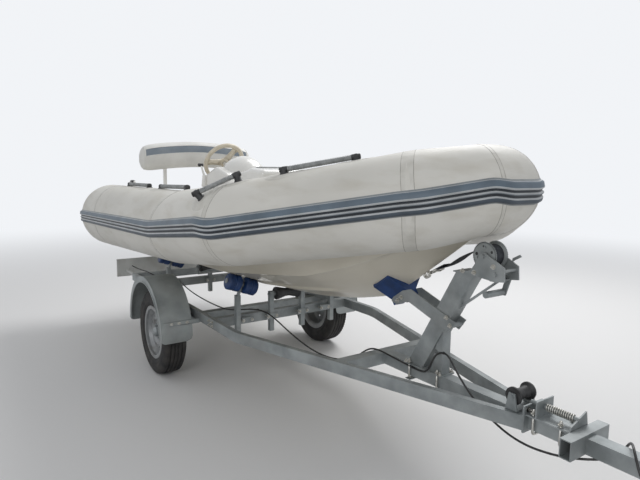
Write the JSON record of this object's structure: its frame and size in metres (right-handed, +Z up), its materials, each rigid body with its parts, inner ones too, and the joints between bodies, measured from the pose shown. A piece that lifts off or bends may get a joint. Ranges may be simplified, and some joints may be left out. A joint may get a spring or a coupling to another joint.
{
  "type": "rigid inflatable boat on a road trailer",
  "caption": "Rigid inflatable boat with a ribbed rubbing strake, helm console and seat, strapped on a galvanised road trailer with rollers, winch post and jockey wheel.",
  "frame": {"origin": "on the ground under the middle of the whole outfit", "axes": "+X forward to the bow and the coupling, +Y to port, +Z up"},
  "size_m": [5.0531, 1.8146, 1.628],
  "materials": {
    "black_rubber": "black rubber",
    "board_grey": "grey board",
    "galvanised": "hot-dip galvanised steel",
    "gelcoat_cream": "cream gelcoat",
    "gelcoat_white": "white gelcoat",
    "handle_rubber": "dark grey moulded rubber",
    "roller_blue": "dark blue moulded rubber",
    "strake_rubber": "slate-grey ribbed rubber",
    "tube_fabric": "off-white coated fabric",
    "tyre": "matte black tread rubber",
    "upholstery": "white coated upholstery",
    "webbing": "dark polyester webbing",
    "wheel_cream": "cream moulded grip",
    "wheel_silver": "silver painted steel"
  },
  "bodies": {
    "boat_and_trailer": {"axle": "galvanised", "backrest": "upholstery", "bow_arm": "galvanised", "bow_chock": "roller_blue", "console": "gelcoat_white", "coupling_head": "galvanised", "cross_beams": "galvanised", "drawbar": "galvanised", "front_seat": "gelcoat_white", "grab_rails": "gelcoat_white", "hull": "gelcoat_cream", "jockey_clamp": "galvanised", "jockey_tube": "galvanised", "light_board": "board_grey", "light_cable": "black_rubber", "light_plug": "black_rubber", "mudguard_port": "galvanised", "mudguard_starboard": "galvanised", "rear_bench": "gelcoat_white", "roller_bracket": "galvanised", "roller_posts_main": "galvanised", "roller_posts_rear": "galvanised", "rubbing_strake_bow": "strake_rubber", "rubbing_strake_port": "strake_rubber", "rubbing_strake_starboard": "strake_rubber", "side_rail_port": "galvanised", "side_rail_starboard": "galvanised", "tube_bow": "tube_fabric", "tube_handles": "handle_rubber", "tube_port": "tube_fabric", "tube_starboard": "tube_fabric", "winch_crank": "galvanised", "winch_drum": "galvanised", "winch_frame": "galvanised", "winch_post": "galvanised", "winch_strap": "webbing"},
    "wheel_starboard": {"tyre_starboard": "tyre", "rim_starboard": "wheel_silver", "hub_starboard": "galvanised"},
    "wheel_port": {"tyre_port": "tyre", "rim_port": "wheel_silver", "hub_port": "galvanised"},
    "drawbar_roller": {"drawbar_roller": "black_rubber"},
    "jockey_leg": {"jockey_leg": "galvanised"},
    "jockey_fork": {"jockey_fork": "galvanised"},
    "jockey_wheel": {"jockey_wheel": "black_rubber"},
    "steering_wheel": {"steering_wheel": "wheel_cream"},
    "roller_main_starboard_outer": {"roller_main_starboard_outer": "roller_blue"},
    "roller_main_starboard_inner": {"roller_main_starboard_inner": "roller_blue"},
    "roller_main_port_outer": {"roller_main_port_outer": "roller_blue"},
    "roller_main_port_inner": {"roller_main_port_inner": "roller_blue"},
    "keel_roller_main": {"keel_roller_main": "black_rubber"},
    "roller_rear_starboard_outer": {"roller_rear_starboard_outer": "roller_blue"},
    "roller_rear_starboard_inner": {"roller_rear_starboard_inner": "roller_blue"},
    "roller_rear_port_outer": {"roller_rear_port_outer": "roller_blue"},
    "roller_rear_port_inner": {"roller_rear_port_inner": "roller_blue"},
    "keel_roller_rear": {"keel_roller_rear": "black_rubber"}
  },
  "joints": [
    {"name": "wheel_spin_starboard", "type": "hinge", "parent": "boat_and_trailer", "child": "wheel_starboard", "pos_m": [-0.9531, -0.661, 0.289], "axis": [0, 1, 0], "continuous": true},
    {"name": "wheel_spin_port", "type": "hinge", "parent": "boat_and_trailer", "child": "wheel_port", "pos_m": [-0.9531, 0.661, 0.289], "axis": [0, 1, 0], "continuous": true},
    {"name": "drawbar_roller_spin", "type": "hinge", "parent": "boat_and_trailer", "child": "drawbar_roller", "pos_m": [1.4089, 0, 0.535], "axis": [0, 1, 0], "continuous": true},
    {"name": "jockey_winding", "type": "slide", "parent": "boat_and_trailer", "child": "jockey_leg", "axis": [0, 0, 1], "range_m": [0, 0.08]},
    {"name": "jockey_swivel", "type": "hinge", "parent": "jockey_leg", "child": "jockey_fork", "pos_m": [2.0569, 0.092, 0.222], "axis": [0, 0, 1], "continuous": true},
    {"name": "jockey_spin", "type": "hinge", "parent": "jockey_fork", "child": "jockey_wheel", "pos_m": [2.0119, 0.092, 0.1], "axis": [0, 1, 0], "continuous": true},
    {"name": "steering", "type": "hinge", "parent": "boat_and_trailer", "child": "steering_wheel", "pos_m": [-1.3531, 0, 1.452], "axis": [-0.848, 0, 0.5299], "range_deg": [-540, 540]},
    {"name": "roller_main_starboard_outer_spin", "type": "hinge", "parent": "boat_and_trailer", "child": "roller_main_starboard_outer", "pos_m": [-0.3901, -0.33512, 0.68143], "axis": [0, 0.9451, -0.3267], "continuous": true},
    {"name": "roller_main_starboard_inner_spin", "type": "hinge", "parent": "boat_and_trailer", "child": "roller_main_starboard_inner", "pos_m": [-0.3901, -0.33512, 0.68143], "axis": [0, 0.9451, -0.3267], "continuous": true},
    {"name": "roller_main_port_outer_spin", "type": "hinge", "parent": "boat_and_trailer", "child": "roller_main_port_outer", "pos_m": [-0.3901, 0.33512, 0.68143], "axis": [0, 0.9451, 0.3267], "continuous": true},
    {"name": "roller_main_port_inner_spin", "type": "hinge", "parent": "boat_and_trailer", "child": "roller_main_port_inner", "pos_m": [-0.3901, 0.33512, 0.68143], "axis": [0, 0.9451, 0.3267], "continuous": true},
    {"name": "keel_roller_main_spin", "type": "hinge", "parent": "boat_and_trailer", "child": "keel_roller_main", "pos_m": [-0.3901, 0, 0.59361], "axis": [0, 1, 0], "continuous": true},
    {"name": "roller_rear_starboard_outer_spin", "type": "hinge", "parent": "boat_and_trailer", "child": "roller_rear_starboard_outer", "pos_m": [-1.6661, -0.3348, 0.65481], "axis": [0, 0.9472, -0.3206], "continuous": true},
    {"name": "roller_rear_starboard_inner_spin", "type": "hinge", "parent": "boat_and_trailer", "child": "roller_rear_starboard_inner", "pos_m": [-1.6661, -0.3348, 0.65481], "axis": [0, 0.9472, -0.3206], "continuous": true},
    {"name": "roller_rear_port_outer_spin", "type": "hinge", "parent": "boat_and_trailer", "child": "roller_rear_port_outer", "pos_m": [-1.6661, 0.3348, 0.65481], "axis": [0, 0.9472, 0.3206], "continuous": true},
    {"name": "roller_rear_port_inner_spin", "type": "hinge", "parent": "boat_and_trailer", "child": "roller_rear_port_inner", "pos_m": [-1.6661, 0.3348, 0.65481], "axis": [0, 0.9472, 0.3206], "continuous": true},
    {"name": "keel_roller_rear_spin", "type": "hinge", "parent": "boat_and_trailer", "child": "keel_roller_rear", "pos_m": [-1.6661, 0, 0.56943], "axis": [0, 1, 0], "continuous": true}
  ]
}
